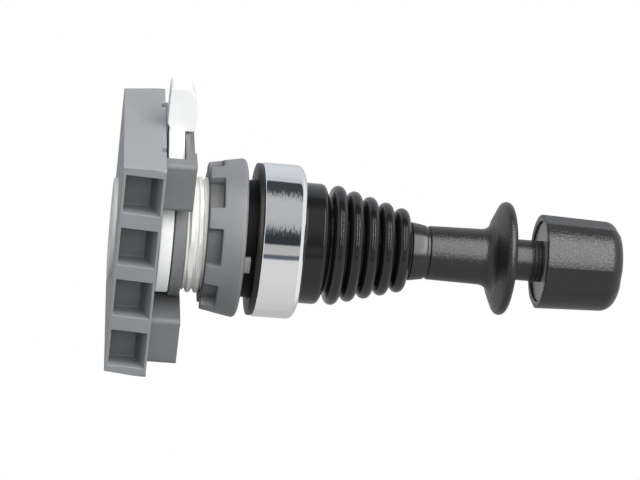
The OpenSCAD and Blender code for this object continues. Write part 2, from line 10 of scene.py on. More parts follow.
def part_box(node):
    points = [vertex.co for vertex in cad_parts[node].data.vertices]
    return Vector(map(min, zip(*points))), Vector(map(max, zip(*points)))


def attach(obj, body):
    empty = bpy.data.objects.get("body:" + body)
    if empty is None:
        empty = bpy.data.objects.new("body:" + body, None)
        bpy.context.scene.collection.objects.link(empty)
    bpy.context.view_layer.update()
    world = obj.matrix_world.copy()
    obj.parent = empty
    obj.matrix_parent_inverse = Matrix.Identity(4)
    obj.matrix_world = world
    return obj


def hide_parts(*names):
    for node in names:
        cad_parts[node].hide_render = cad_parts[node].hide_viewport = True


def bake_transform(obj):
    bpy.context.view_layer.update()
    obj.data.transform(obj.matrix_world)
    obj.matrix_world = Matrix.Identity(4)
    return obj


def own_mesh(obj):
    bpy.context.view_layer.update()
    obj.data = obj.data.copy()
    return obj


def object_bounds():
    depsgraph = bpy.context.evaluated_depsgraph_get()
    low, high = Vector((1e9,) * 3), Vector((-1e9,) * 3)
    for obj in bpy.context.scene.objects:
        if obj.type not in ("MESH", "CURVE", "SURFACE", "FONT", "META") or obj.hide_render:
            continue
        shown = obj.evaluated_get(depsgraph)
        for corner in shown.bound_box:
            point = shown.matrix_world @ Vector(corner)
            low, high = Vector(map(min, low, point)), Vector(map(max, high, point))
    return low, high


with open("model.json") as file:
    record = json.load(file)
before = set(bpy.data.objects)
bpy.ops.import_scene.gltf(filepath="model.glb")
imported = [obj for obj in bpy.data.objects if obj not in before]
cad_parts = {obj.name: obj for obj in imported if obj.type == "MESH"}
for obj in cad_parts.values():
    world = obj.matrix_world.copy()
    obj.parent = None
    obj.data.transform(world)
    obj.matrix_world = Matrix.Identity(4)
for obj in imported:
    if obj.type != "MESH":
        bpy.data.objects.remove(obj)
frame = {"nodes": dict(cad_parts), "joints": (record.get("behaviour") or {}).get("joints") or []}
cad_low, cad_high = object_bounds()
mm = 0.001
scene = bpy.context.scene

# ---------------------------------------------------------------- camera
# A long lens looks at the head from its side, a little from behind the panel. The lock lever points
# up and the knob to the right, so the stick's axis runs nearly level across the frame.
eye = Vector((-209.5, -393.0, -40.1)) * mm
aim = Vector((-0.9, 0.0, 13.1)) * mm
roll = math.radians(-8.1)
ahead = (aim - eye).normalized()
upward = (Vector((-1, 0, 0)) + ahead * ahead.x).normalized()
upward = Matrix.Rotation(roll, 3, ahead) @ upward
across = ahead.cross(upward)
camera = bpy.data.objects.new("camera", bpy.data.cameras.new("camera"))
camera.data.lens = 132.4
camera.data.sensor_width = 36
camera.data.clip_start = 0.01
camera.matrix_world = Matrix((across, upward, -ahead)).transposed().to_4x4()
camera.matrix_world.translation = eye
scene.collection.objects.link(camera)
scene.camera = camera
scene.view_settings.view_transform = "Standard"


# ---------------------------------------------------------------- studio walls
# White surroundings as in a catalogue shot. Polished metal sees the studio's own pale walls and
# dark gaps, which lie as bands round the stick's axis.
class Value:
    """A shader socket that is used like a number: each operator adds one Math node."""

    def __init__(self, graph, socket):
        self.graph = graph
        self.socket = socket

    def maths(self, operation, *terms):
        return self.graph.add("ShaderNodeMath", {"operation": operation}, dict(enumerate(terms)))

    def __add__(self, other):
        return self.maths("ADD", self, other)

    def __radd__(self, other):
        return self.maths("ADD", other, self)

    def __sub__(self, other):
        return self.maths("SUBTRACT", self, other)

    def __rsub__(self, other):
        return self.maths("SUBTRACT", other, self)

    def __mul__(self, other):
        return self.maths("MULTIPLY", self, other)

    def __rmul__(self, other):
        return self.maths("MULTIPLY", other, self)

    def __truediv__(self, other):
        return self.maths("DIVIDE", self, other)

    def __gt__(self, other):
        return self.maths("GREATER_THAN", self, other)

    def __lt__(self, other):
        return self.maths("LESS_THAN", self, other)

    def __abs__(self):
        return self.maths("ABSOLUTE", self)

    def power(self, other):
        return self.maths("POWER", self, other)

    def sine(self):
        return self.maths("SINE", self)

    def arctan2(self, other):
        return self.maths("ARCTAN2", self, other)

    def between(self, low, high):
        """Runs from 0 at low to 1 at high, with soft ends."""
        soft = {"interpolation_type": "SMOOTHSTEP"}
        sockets = {"Value": self, "From Min": low, "From Max": high}
        return self.graph.add("ShaderNodeMapRange", soft, sockets, "Result")


class Graph:
    """A node tree under construction, whose patterns lie in one space: of the piece or the world."""

    def __init__(self, tree, space):
        self.tree = tree
        self.place = self.add("ShaderNodeTexCoord", out=space)

    def add(self, kind, settings=(), sockets=(), out=0):
        """Adds one node. Inputs and outputs are named or numbered, and a tuple asks for several."""
        node = self.tree.nodes.new(kind)
        for name, value in dict(settings).items():
            if name == "stops":
                while len(node.color_ramp.elements) < len(value):
                    node.color_ramp.elements.new(0.5)
                for element, (at, colour) in zip(node.color_ramp.elements, value):
                    element.position = at
                    element.color = (*colour, 1)
            else:
                setattr(node, name, value)
        self.feed(node, dict(sockets))
        if isinstance(out, tuple):
            return [Value(self, node.outputs[key]) for key in out]
        return Value(self, node.outputs[out])

    def feed(self, node, sockets):
        """Links a node's inputs to values, and sets the constant ones."""
        for key, value in sockets.items():
            if isinstance(value, Value):
                self.tree.links.new(value.socket, node.inputs[key])
            else:
                node.inputs[key].default_value = value

    def axes(self):
        return self.add("ShaderNodeSeparateXYZ", (), {"Vector": self.place}, ("X", "Y", "Z"))

    def mix(self, share, first, second):
        """Blends two colours. Input 0 is the share, and 6 and 7 are the colours."""
        first, second = (c if isinstance(c, Value) else (*c, 1) for c in (first, second))
        return self.add("ShaderNodeMix", {"data_type": "RGBA"}, {0: share, 6: first, 7: second}, 2)


def wall_colour(angle, level):
    """The dark gaps look bluish, and the walls get cooler towards the lock lever's side."""
    cool = 0.0
    if angle > 30:
        cool = 0.04
    if angle > 100:
        cool = 0.14
    if level < 0.14:
        cool = 0.35
    return (level, level * (1 + cool * 0.4), level * (1 + cool))


def studio():
    world = bpy.data.worlds.new("studio")
    scene.world = world
    world.use_nodes = True
    sky = Graph(world.node_tree, "Generated")
    x, y, z = sky.axes()
    # 0.5 looks to the front and 0.75 to the side that the lock lever stands on.
    turn = (x * -1.0).arctan2(y * -1.0) / (2 * math.pi) + 0.5
    walls = [
        (-180, 0.62), (-131, 0.50), (-105, 0.49), (-96, 0.55), (-72, 0.60), (-30, 0.66), (-0.5, 0.66),
        (1.2, 0.13), (6.4, 0.10), (8.2, 0.46), (21.8, 0.43), (22.8, 0.035), (36, 0.03), (43, 0.10),
        (50, 0.40), (58, 0.45), (92, 0.47), (98, 0.36), (105, 0.08), (110, 0.045), (126.4, 0.05),
        (127.6, 0.40), (131, 0.60), (133, 0.50), (140, 0.60), (165, 0.64),
    ]
    stops = [(angle / 360 + 0.5, wall_colour(angle, level)) for angle, level in walls]
    bands = sky.add("ShaderNodeValToRGB", {"stops": stops}, {0: turn})
    ends = abs(z).between(0.50, 0.68)
    mirrored = sky.add("ShaderNodeBackground", (), {"Color": sky.mix(ends, bands, (0.80, 0.81, 0.82))})
    # Matt pieces are lit mostly from the lock lever's side, a little from the front and knob end.
    facing = x * -0.78 + y * -0.47 + z * 0.40
    strength = facing.between(-0.8, 1.0) * 0.50 + 0.13
    soft = sky.add("ShaderNodeBackground", (), {"Color": (0.93, 0.96, 1.0, 1), "Strength": strength})
    white = sky.add("ShaderNodeBackground", (), {"Color": (1, 1, 1, 1)})
    glossy, seen = sky.add("ShaderNodeLightPath", out=("Is Glossy Ray", "Is Camera Ray"))
    around = sky.add("ShaderNodeMixShader", (), {0: glossy, 1: soft, 2: mirrored})
    shown = sky.add("ShaderNodeMixShader", (), {0: seen, 1: around, 2: white})
    sky.feed(world.node_tree.nodes["World Output"], {"Surface": shown})


studio()


# ---------------------------------------------------------------- lamps
# One big softbox with a strip below and above it stands on the lock lever's side. A second softbox
# lights only the stick's black pieces, and one behind the head gives its far edge some light.
def softbox(name, towards, distance, width, length, power):
    """An area light that faces the head, with its length along the stick."""
    lamp = bpy.data.lights.new(name, "AREA")
    lamp.shape = "RECTANGLE"
    lamp.size = width
    lamp.size_y = length
    lamp.energy = power
    light = bpy.data.objects.new(name, lamp)
    light.visible_camera = False
    out = Vector(towards).normalized()
    along = Vector((0, 0, 1))
    side = along.cross(out).normalized()
    along = out.cross(side)
    middle = Vector((0, 0, 30)) * mm
    light.matrix_world = Matrix((side, along, out)).transposed().to_4x4()
    light.matrix_world.translation = middle + out * distance
    scene.collection.objects.link(light)
    return light


key_side = (-0.84, -0.50, 0.24)
key_light = softbox("key_light", key_side, distance=0.6, width=0.95, length=0.5, power=3.0)
strips = [
    softbox("strip_low", (-0.88, -0.44, -0.16), distance=0.6, width=0.80, length=0.03, power=1.1),
    softbox("strip_high", (-0.80, -0.40, 0.45), distance=0.6, width=0.80, length=0.03, power=1.1),
]
black_lift = softbox("black_lift", key_side, distance=0.57, width=0.95, length=0.5, power=3.2)
back_light = softbox("back_light", (0.3, 0.9, 0.6), distance=0.9, width=0.7, length=0.7, power=1.2)
back_light.visible_glossy = False


# ---------------------------------------------------------------- ground
# Pale even floor just under the adapter, with a light of its own from overhead. Seen from below it
# is clear, so it never hides the head.
class Finish(Graph):
    """A material under construction, with its patterns fixed to the piece that wears it."""

    def __init__(self, name, **constants):
        self.material = bpy.data.materials.new(name)
        self.material.use_nodes = True
        super().__init__(self.material.node_tree, "Object")
        self.shader = self.tree.nodes["Principled BSDF"]
        self.skin(**constants)

    def skin(self, **sockets):
        """Feeds the surface's own sockets, such as Base_Color, and gives the material."""
        self.feed(self.shader, {name.replace("_", " "): value for name, value in sockets.items()})
        return self.material

    def noise(self, size, detail=3.0, roughness=0.5, stretch=None):
        """Noise whose lumps are about this size, in metres, or finer along a stretched axis."""
        place = self.place
        if stretch:
            place = self.add("ShaderNodeMapping", (), {"Vector": place, "Scale": stretch})
        sockets = {"Vector": place, "Scale": 1 / size, "Detail": detail, "Roughness": roughness}
        return self.add("ShaderNodeTexNoise", (), sockets)

    def bump(self, height, depth):
        """Height runs from 0 to 1 and stands for this depth, in metres."""
        return self.add("ShaderNodeBump", (), {"Height": height, "Distance": depth, "Strength": 1.0})


def floor():
    mesh = bpy.data.meshes.new("floor")
    reach = 3.0
    level = cad_low.z - 0.2 * mm
    corners = [(-reach, -reach), (reach, -reach), (reach, reach), (-reach, reach)]
    mesh.from_pydata([(x, y, level) for x, y in corners], [], [(0, 1, 2, 3)])
    ground = bpy.data.objects.new("floor", mesh)
    scene.collection.objects.link(ground)
    paint = Finish("pale_ground", Roughness=0.9)
    paint.skin(Base_Color=paint.mix(paint.noise(0.4), (0.86, 0.86, 0.86), (0.90, 0.90, 0.90)))
    under = paint.add("ShaderNodeNewGeometry", out="Backfacing")
    clear = paint.add("ShaderNodeBsdfTransparent")
    pale = Value(paint, paint.shader.outputs[0])
    both = paint.add("ShaderNodeMixShader", (), {0: under, 1: pale, 2: clear})
    paint.feed(paint.tree.nodes["Material Output"], {"Surface": both})
    mesh.materials.append(paint.material)
    for sight in ("visible_diffuse", "visible_glossy", "visible_transmission", "visible_shadow"):
        setattr(ground, sight, False)
    return ground


ground = floor()
overhead = bpy.data.objects.new("overhead", bpy.data.lights.new("overhead", "SUN"))
overhead.data.angle = math.radians(70)
overhead.data.energy = 2.1
scene.collection.objects.link(overhead)


# ---------------------------------------------------------------- adapter plate
# Light grey glass-filled moulding that carries four contact blocks. Its clip pockets, keyway and
# witness notches come from the mould, and every outside edge has the mould's small radius. The
# pockets' floors are painted darker as shade.
def put(name, mesh, finish, body, node):
    """Puts a finished mesh in the scene in place of a plain solid."""
    piece = bpy.data.objects.new(name, mesh)
    scene.collection.objects.link(piece)
    mesh.materials.clear()
    mesh.materials.append(finish)
    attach(piece, body)
    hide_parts(node)
    return piece


def modified(mesh, kind, **settings):
    """The mesh as one modifier leaves it."""
    holder = bpy.data.objects.new("holder", mesh)
    scene.collection.objects.link(holder)
    modifier = holder.modifiers.new("step", kind)
    for setting, value in settings.items():
        setattr(modifier, setting, value)
    bpy.context.view_layer.update()
    done = bpy.data.meshes.new_from_object(holder.evaluated_get(bpy.context.evaluated_depsgraph_get()))
    bpy.data.objects.remove(holder)
    return done


def rounded(node, radius):
    """The node's own shape with its edges rounded like a moulding's, and its flats kept flat."""
    shape = bmesh.new()
    shape.from_mesh(frame["nodes"][node].data)
    skin = BVHTree.FromBMesh(shape)
    bmesh.ops.remove_doubles(shape, verts=shape.verts, dist=0.002 * mm)
    flat = math.radians(0.5)
    bmesh.ops.dissolve_limit(shape, angle_limit=flat, verts=shape.verts, edges=shape.edges)
    # A bevel would tear the big faces that wind round a bore, so they are triangles again.
    bmesh.ops.triangulate(shape, faces=shape.faces)
    mesh = bpy.data.meshes.new(node)
    shape.to_mesh(mesh)
    shape.free()
    done = modified(
        mesh, "BEVEL", width=radius, segments=2, limit_method="ANGLE",
        angle_limit=math.radians(28), use_clamp_overlap=False, miter_outer="MITER_SHARP",
    )
    # An edge shorter than the radius would throw its corner out, so such corners go back.
    thrown_out = 0.55 * radius
    for corner in done.vertices:
        near, _, _, away = skin.find_nearest(corner.co)
        if away > thrown_out:
            corner.co = near
    done.shade_smooth()
    done = modified(done, "WEIGHTED_NORMAL", weight=90)
    done.name = node + "_moulding"
    return done


def from_axis(x, y):
    return (x * x + y * y).power(0.5)


def moulded_plastic(name, colour, dark, rough, depth=0.012 * mm, shine=0.5, painted_shade_box=None, painted_shade_core=None):
    """Injection moulded plastic with flow marks and fine grain. Painted shade darkens the skin with the
    depth inside the shade box, a drafted box, and from the shade core's outer radius to its inner one."""
    paint = Finish(name, IOR=1.5, Specular_IOR_Level=shine)
    flow = paint.noise(11 * mm, 3, 0.55)
    speck = paint.noise(0.35 * mm, 2, 0.6)
    tone = flow.between(0.32, 0.70) * 0.75 + speck * 0.25
    skin = paint.mix(tone, dark, colour)
    # Painted shade: a much darker copy of the plastic, blended in where pockets and slots are in shade.
    painted_shade_colour = tuple(0.2 * c for c in dark)
    if painted_shade_box:
        half_x, half_y, draft, low, high = painted_shade_box
        x, y, z = paint.axes()
        sunk = half_y - (high - z) * draft - abs(y)
        inside = (abs(x) < half_x) * (z > low) * (z < high)
        skin = paint.mix(inside * sunk.between(0.0, 2.6 * mm) * 0.72, skin, painted_shade_colour)
    if painted_shade_core:
        x, y, _ = paint.axes()
        skin = paint.mix((1.0 - from_axis(x, y).between(*painted_shade_core)) * 0.6, skin, painted_shade_colour)
    return paint.skin(
        Base_Color=skin,
        Roughness=rough - 0.05 + 0.10 * flow,
        Normal=paint.bump(speck, depth),
    )


# The box round the pockets, inside which the floors get painted shade: half its width and depth,
# its draft, and its lowest and highest z.
pocket_shade_box = (20.5 * mm, 17.4 * mm, 0.096, -25.5 * mm, -18.5 * mm)
plate_grey = moulded_plastic(
    "plate_grey", (0.312, 0.321, 0.330), (0.275, 0.284, 0.292), 0.42, painted_shade_box=pocket_shade_box
)
put(
    "adapter_plate_moulding", rounded("adapter_plate", 0.16 * mm), plate_grey,
    "mount_body", "adapter_plate",
)


# ---------------------------------------------------------------- coupling housing
# Darker grey half of the adapter. Two blocks stand on a ring round the barrel, and the upper one
# is slotted for the lock lever.
housing_grey = moulded_plastic("housing_grey", (0.203, 0.206, 0.210), (0.167, 0.169, 0.173), 0.46)
put(
    "coupling_housing_moulding", rounded("coupling_housing", 0.2 * mm), housing_grey,
    "mount_body", "coupling_housing",
)


# ---------------------------------------------------------------- lock ring
# Milky white acetal ring with a finger tab, moulded in one. It turns on the barrel's groove and its
# slippery skin has a soft shine.
def milky(name, colour):
    paint = Finish(name, IOR=1.48)
    flow = paint.noise(7 * mm, 3, 0.5)
    fine = paint.noise(0.5 * mm, 2, 0.5)
    darker = tuple(0.93 * c for c in colour)
    return paint.skin(
        Base_Color=paint.mix(flow.between(0.3, 0.7), darker, colour),
        Roughness=0.30 + 0.08 * fine,
        Normal=paint.bump(fine, 0.008 * mm),
    )


acetal = milky("milky_acetal", (0.93, 0.93, 0.91))
put("lock_ring_moulding", rounded("lock_ring", 0.22 * mm), acetal, "lock_ring", "lock_ring")


# ---------------------------------------------------------------- threaded sleeve
# Off-white 22 mm barrel. The thread is moulded with a flat along its near and far sides, where
# the mould parts, and runs out at both ends.
def all_round(count):
    """This many angles in degrees, spread evenly."""
    return [360 * j / count for j in range(count)]


def ring(z, radius_at, angles):
    """Points at one height, where radius_at gives the radius for an angle in degrees."""
    made = []
    for a in angles:
        r = radius_at(a)
        made.append((r * math.cos(math.radians(a)), r * math.sin(math.radians(a)), z))
    return made


def round_ring(r, z, angles):
    return ring(z, lambda a: r, angles)


def surface(name, rows, closed=False, sharp=34):
    """Skins rings of points that all have the same number of points."""
    around = len(rows[0])
    points = [p for row in rows for p in row]
    faces = []
    last = len(rows) if closed else len(rows) - 1
    for i in range(last):
        here, there = i * around, ((i + 1) % len(rows)) * around
        for j in range(around):
            k = (j + 1) % around
            faces.append((here + j, here + k, there + k, there + j))
    mesh = bpy.data.meshes.new(name)
    mesh.from_pydata(points, [], faces)
    shape = bmesh.new()
    shape.from_mesh(mesh)
    bmesh.ops.recalc_face_normals(shape, faces=shape.faces)
    shape.to_mesh(mesh)
    shape.free()
    mesh.shade_smooth()
    mesh.set_sharp_from_angle(angle=math.radians(sharp))
    return mesh


def in_mm(*points):
    """Points of (radius, height) that are given in millimetres."""
    return [(r * mm, z * mm) for r, z in points]


sleeve_low, sleeve_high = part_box("threaded_sleeve")
thread_crest = 11.0 * mm
thread_flat = sleeve_high.y + 0.05 * mm
thread_pitch = 1.5 * mm
thread_depth = 0.75 * mm
thread_start = -12.8 * mm
thread_end = -2.1 * mm
thread_runout = 0.6 * mm
thread_rings = 96
barrel_r = 9.6 * mm
barrel_edge = 0.2 * mm
bore_r = 8.2 * mm


def thread_radius(z, angle):
    """Crest, flank and root of the thread at one height and angle, cut by the two flats."""
    turn = (z / thread_pitch - angle / 360) % 1.0
    crest = min(1.0, max(0.0, 2.0 - abs(turn - 0.5) * 4.4))
    fade = min(1.0, (z - thread_start) / thread_runout, (thread_end - z) / thread_runout)
    r = thread_crest - thread_depth + thread_depth * crest * max(0.0, fade)
    side = abs(math.sin(math.radians(angle)))
    return min(r, thread_flat / side) if side > 0.5 else r


def threaded_sleeve():
    angles = all_round(180)
    # The rear end with its rounded edge, the lock ring's groove, and the foot of the thread.
    plain = [(bore_r, sleeve_low.z), (barrel_r - barrel_edge, sleeve_low.z)]
    plain += [(barrel_r, sleeve_low.z + barrel_edge)]
    plain += in_mm((9.6, -17.4), (9.0, -17.4), (9.0, -15.6), (9.6, -15.6))
    plain += [(barrel_r, thread_start)]
    rows = [round_ring(r, z, angles) for r, z in plain]
    for i in range(thread_rings + 1):
        z = thread_start + (thread_end - thread_start) * i / thread_rings
        rows.append(ring(z, lambda a, z=z: thread_radius(z, a), angles))
    # The neck in front of the thread, and the step in the bore that the guide plate stands on.
    neck = in_mm((10.2, -2.0), (10.2, -0.8), (9.3, -0.8), (9.3, -8.3), (8.2, -8.3))
    rows += [round_ring(r, z, angles) for r, z in neck]
    return surface("threaded_sleeve_moulding", rows, closed=True)


sleeve_white = milky("sleeve_white", (0.86, 0.865, 0.82))
put(
    "threaded_sleeve_moulding", threaded_sleeve(), sleeve_white,
    "mount_body", "threaded_sleeve",
)


# ---------------------------------------------------------------- panel nut
# Mid grey coned ring nut. Eight spanner slots open to the rear and show the threaded hub, where
# little light gets in; the hub is painted darker there as shade.
# Radii between which the slots' hub is painted darker as shade, darkest at the inner one.
slot_shade_core = (12.4 * mm, 13.7 * mm)
nut_grey = moulded_plastic(
    "nut_grey", (0.224, 0.227, 0.233), (0.183, 0.186, 0.192), 0.42, painted_shade_core=slot_shade_core
)
put("panel_nut_moulding", rounded("panel_nut", 0.18 * mm), nut_grey, "panel_nut", "panel_nut")


# ---------------------------------------------------------------- joystick head, key nose, gasket
# The head's black spigot fills the panel hole, the pale nose stops it turning, and the rubber
# ring seals it against the panel.
def cover(node, finish):
    """Gives a plain solid its finish, and keeps its shape."""
    solid = frame["nodes"][node]
    solid.data.materials.clear()
    solid.data.materials.append(finish)
    solid.data.shade_smooth()
    solid.data.set_sharp_from_angle(angle=math.radians(30))


black_plastic = moulded_plastic(
    "black_plastic", (0.006, 0.006, 0.006), (0.003, 0.003, 0.003), 0.5, shine=0.12
)
cover("joystick_head", black_plastic)
key_grey = moulded_plastic("key_grey", (0.40, 0.41, 0.40), (0.34, 0.35, 0.34), 0.40)
put("key_nose_moulding", rounded("key_nose", 0.12 * mm), key_grey, "mount_body", "key_nose")


def rubber(name, colour, dusty, rough, depth, shine=0.5):
    """Black rubber: talc left in its pores and a slightly uneven skin."""
    paint = Finish(name, IOR=1.5, Specular_IOR_Level=shine)
    dust = paint.noise(4.5 * mm, 4, 0.65)
    pores = paint.noise(0.22 * mm, 2, 0.55)
    talc = dust.between(0.52, 0.80) * pores.between(0.45, 0.75)
    return paint.skin(
        Base_Color=paint.mix(talc * 0.35, colour, dusty),
        Roughness=rough + 0.12 * dust,
        Normal=paint.bump(pores * 0.6 + dust * 0.4, depth),
    )


gasket_rubber = rubber("gasket_rubber", (0.012, 0.0112, 0.0095), (0.05, 0.05, 0.05), 0.30, 0.01 * mm, 0.3)
put("gasket_ring", rounded("gasket", 0.25 * mm), gasket_rubber, "mount_body", "gasket")


# ---------------------------------------------------------------- bezel
# Turned brass ring, polished and chrome plated. A bevel leads from its straight side up to the
# mouth that the boot comes out of.
def lathe(name, profile, steps=128):
    """Turns a closed profile of (radius, height) points round the stick's axis."""
    return surface(name, [round_ring(r, z, all_round(steps)) for r, z in profile], closed=True)


def arc(centre, radius, start, end, points=6):
    """Points of (radius, height) on an arc, angles in degrees from outward to upward."""
    r, z = centre
    made = []
    for i in range(points + 1):
        a = math.radians(start + (end - start) * i / points)
        made.append((r + radius * math.cos(a), z + radius * math.sin(a)))
    return made


def chrome_plate():
    """Bright plating over turned metal. Between its two dark reflections the polish has a fine
    tangential ripple, which frays their edges."""
    paint = Finish("chrome_plate", Metallic=1.0)
    smear = paint.noise(6 * mm, 4, 0.6)
    ripple = paint.noise(1 * mm, 4, 0.65, stretch=(1, 1, 5))
    x, y, _ = paint.axes()
    turn = (x * -1.0).arctan2(y * -1.0)
    frayed = turn.between(0.45, 0.54) * (1 - turn.between(1.22, 1.31))
    tilt = (ripple - 0.5) * (0.34 * frayed + 0.02)
    outward = paint.add("ShaderNodeNewGeometry", out="Normal")
    out_x, out_y, out_z = paint.add("ShaderNodeSeparateXYZ", (), {"Vector": outward}, ("X", "Y", "Z"))
    radius = from_axis(x, y)
    tilted = {"X": out_x - y / radius * tilt, "Y": out_y + x / radius * tilt, "Z": out_z}
    return paint.skin(
        Base_Color=paint.mix(smear, (0.93, 0.94, 0.96), (0.98, 0.98, 0.98)),
        Roughness=0.02 + 0.04 * smear.between(0.5, 0.85),
        Normal=paint.add("ShaderNodeCombineXYZ", (), tilted),
    )


bezel_low, bezel_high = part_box("bezel")
bezel_r = bezel_high.x
bezel_edge = 0.3 * mm
bezel_profile = [(12.9 * mm, bezel_low.z)]
bezel_profile += arc((bezel_r - bezel_edge, bezel_low.z + bezel_edge), bezel_edge, -90, 0)
# The bevel bulges a little, and the mouth's lip turns down behind it to the bore.
bezel_profile += in_mm(
    (14.65, 7.7), (14.61, 7.92), (14.5, 8.18), (14.3, 8.45), (14.0, 8.7), (13.6, 8.93), (13.1, 9.12),
    (12.5, 9.27), (11.85, 9.38), (11.7, 9.36), (11.65, 9.3), (11.65, 7.9), (12.9, 7.9),
)
chrome = chrome_plate()
bezel = put("bezel_ring", lathe("bezel_ring", bezel_profile, 192), chrome, "mount_body", "bezel")


# ---------------------------------------------------------------- boot
# Black rubber bellows in one moulding: a cuff held under the bezel, five folds that get smaller
# upwards, and a neck that grips the shaft. It is drawn in two halves, which meet unseen in a fold.
boot_low, boot_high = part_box("boot")
folds = 5
crest_low = Vector((11.4, 15.9)) * mm
crest_high = Vector((8.1, 28.4)) * mm
crest_round = 1.28 * mm
valley_depth = 2.85 * mm
rubber_t = 0.7 * mm
hollow_share = 0.55
cuff_r = 11.5 * mm
cuff_top = 13.5 * mm
cuff_round = 1.1 * mm
cuff_bore_r = 9.6 * mm
shaft_bore_r = 3.05 * mm


def fold_centre(i):
    return crest_low.lerp(crest_high, i / (folds - 1))


def valley(i, inset):
    """Bottom of the valley above crest i: rounded like the crests, but tight."""
    r, z = fold_centre(i + 0.5)
    return [(r - valley_depth - inset, z + dz * mm) for dz in (-0.12, 0, 0.12)]


def crest_points(i, inset, share):
    """Outline of one crest, almost a tube; share narrows it for the inside of the rubber."""
    r, z = fold_centre(i)
    made = []
    for a in range(-84, 85, 12):
        up = crest_round * math.sin(math.radians(a)) * share
        made.append((r - inset - crest_round * (1 - math.cos(math.radians(a))), z + up))
    return made


def wall(crests, inset, share, start=False):
    """The rubber's outline over some crests and the valleys that follow them."""
    made = valley(crests[0] - 1, inset)[1 if start else 0:]
    for i in crests:
        made += crest_points(i, inset, share)
        if i < folds - 1:
            made += valley(i, inset)[: 2 if i == crests[-1] else 3]
    return made


def bending(name, mesh, finish, node):
    """Puts a mesh in the scene with its finish, baked in place, and hides the node's plain solid."""
    piece = bpy.data.objects.new(name, mesh)
    scene.collection.objects.link(piece)
    mesh.materials.append(finish)
    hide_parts(node)
    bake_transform(piece)
    return piece


lower_out = [(12.6 * mm, boot_low.z)] + in_mm((12.6, 7.85), (11.5, 7.86), (11.5, 9.3))
lower_out += arc((cuff_r - cuff_round, cuff_top - cuff_round), cuff_round, 0, 84, 8)
lower_out += wall([0, 1], 0, 1)
lower_in = [(cuff_bore_r, boot_low.z), (cuff_bore_r, cuff_top - 1.6 * mm)]
lower_in += wall([0, 1], rubber_t, hollow_share)
upper_out = wall([2, 3, 4], 0, 1, start=True)
upper_out += in_mm((6.6, 29.62), (5.9, 29.8), (5.45, 30.05))
upper_out += [(5.35 * mm, boot_high.z), (shaft_bore_r, boot_high.z)]
upper_in = wall([2, 3, 4], rubber_t, hollow_share, start=True)
upper_in += in_mm((5.9, 29.1), (4.8, 29.4)) + [(shaft_bore_r, boot_high.z - 0.8 * mm)]
boot_rubber = rubber("boot_rubber", (0.0135, 0.0132, 0.0125), (0.035, 0.034, 0.033), 0.12, 0.004 * mm)
lean_middle = fold_centre(1.5).y
boot_lower = bending(
    "boot_lower", lathe("boot_lower", lower_out + lower_in[::-1], 144), boot_rubber,
    "boot",
)
boot_upper = bending(
    "boot_upper", lathe("boot_upper", upper_out + upper_in[::-1], 144), boot_rubber,
    "boot",
)


# ---------------------------------------------------------------- boot ring
# A glossy black collar that nips the boot's neck to the shaft, with a narrow spigot on top that
# the interlock collar's foot comes down on.
ring_low, ring_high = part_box("boot_ring")
ring_r = ring_high.x
ring_top = 33.35 * mm
spigot_r = 4.9 * mm
ring_profile = [(shaft_bore_r, ring_low.z), (ring_r - 0.25 * mm, ring_low.z)]
ring_profile += arc((ring_r - 0.2 * mm, ring_low.z + 0.2 * mm), 0.2 * mm, -90, 0, 4)
ring_profile += arc((ring_r - 0.7 * mm, ring_top - 0.3 * mm), 0.3 * mm, 0, 90, 5)
ring_profile += [(spigot_r, ring_high.z), (shaft_bore_r, ring_high.z)]
gloss_black = moulded_plastic(
    "gloss_black", (0.020, 0.0188, 0.018), (0.015, 0.0142, 0.0135), 0.24, depth=0.004 * mm
)
boot_ring = put(
    "boot_ring_moulding", lathe("boot_ring_moulding", ring_profile), gloss_black,
    "lever", "boot_ring",
)


# ---------------------------------------------------------------- lever shaft
# Grained black plastic over a steel core. It is bare only between the interlock collar and the
# knob; just below the knob it is finely grooved and nearly black.
def grained_black(name, rough, depth, grain, dark_from=None, painted_highlight_lip=None):
    """Charcoal plastic from a spark-eroded mould: a matt pebbled skin with brighter high spots.
    Beyond the given height the piece is grooved, rougher and nearly black. The lip gets a
    painted highlight: a pale ring given by its inner radius, outer radius and top."""
    paint = Finish(name, IOR=1.5)
    pebble = paint.noise(grain, 3, 0.6)
    coarse = paint.noise(grain * 4, 2, 0.5)
    flow = paint.noise(12 * mm, 3, 0.5)
    x, y, z = paint.axes()
    colour = paint.mix(flow * 0.6 + pebble * 0.4, (0.0088, 0.0075, 0.0072), (0.0172, 0.0152, 0.0147))
    height = pebble * 0.75 + coarse * 0.25
    roughness = rough + 0.22 * (pebble - 0.5)
    if dark_from:
        # Beyond this height the skin is made nearly black, grooved and rougher.
        darkened = z > dark_from
        grooves = (z * (2 * math.pi / (0.7 * mm))).sine()
        colour = paint.mix(darkened, colour, (0.002, 0.002, 0.002))
        height = height + darkened * 0.5 * grooves
        roughness = roughness + 0.25 * darkened
    # Painted highlight: a pale ring at the knob's lower rim stands in for the light its edge catches.
    if painted_highlight_lip:
        inner, outer, top = painted_highlight_lip
        radius = from_axis(x, y)
        colour = paint.mix((radius > inner) * (radius < outer) * (z < top), colour, (0.30, 0.29, 0.28))
    return paint.skin(Base_Color=colour, Roughness=roughness, Normal=paint.bump(height, depth))


shaft_black = grained_black("shaft_black", 0.30, 0.07 * mm, 0.6 * mm, dark_from=53.75 * mm)
cover("lever_shaft", shaft_black)


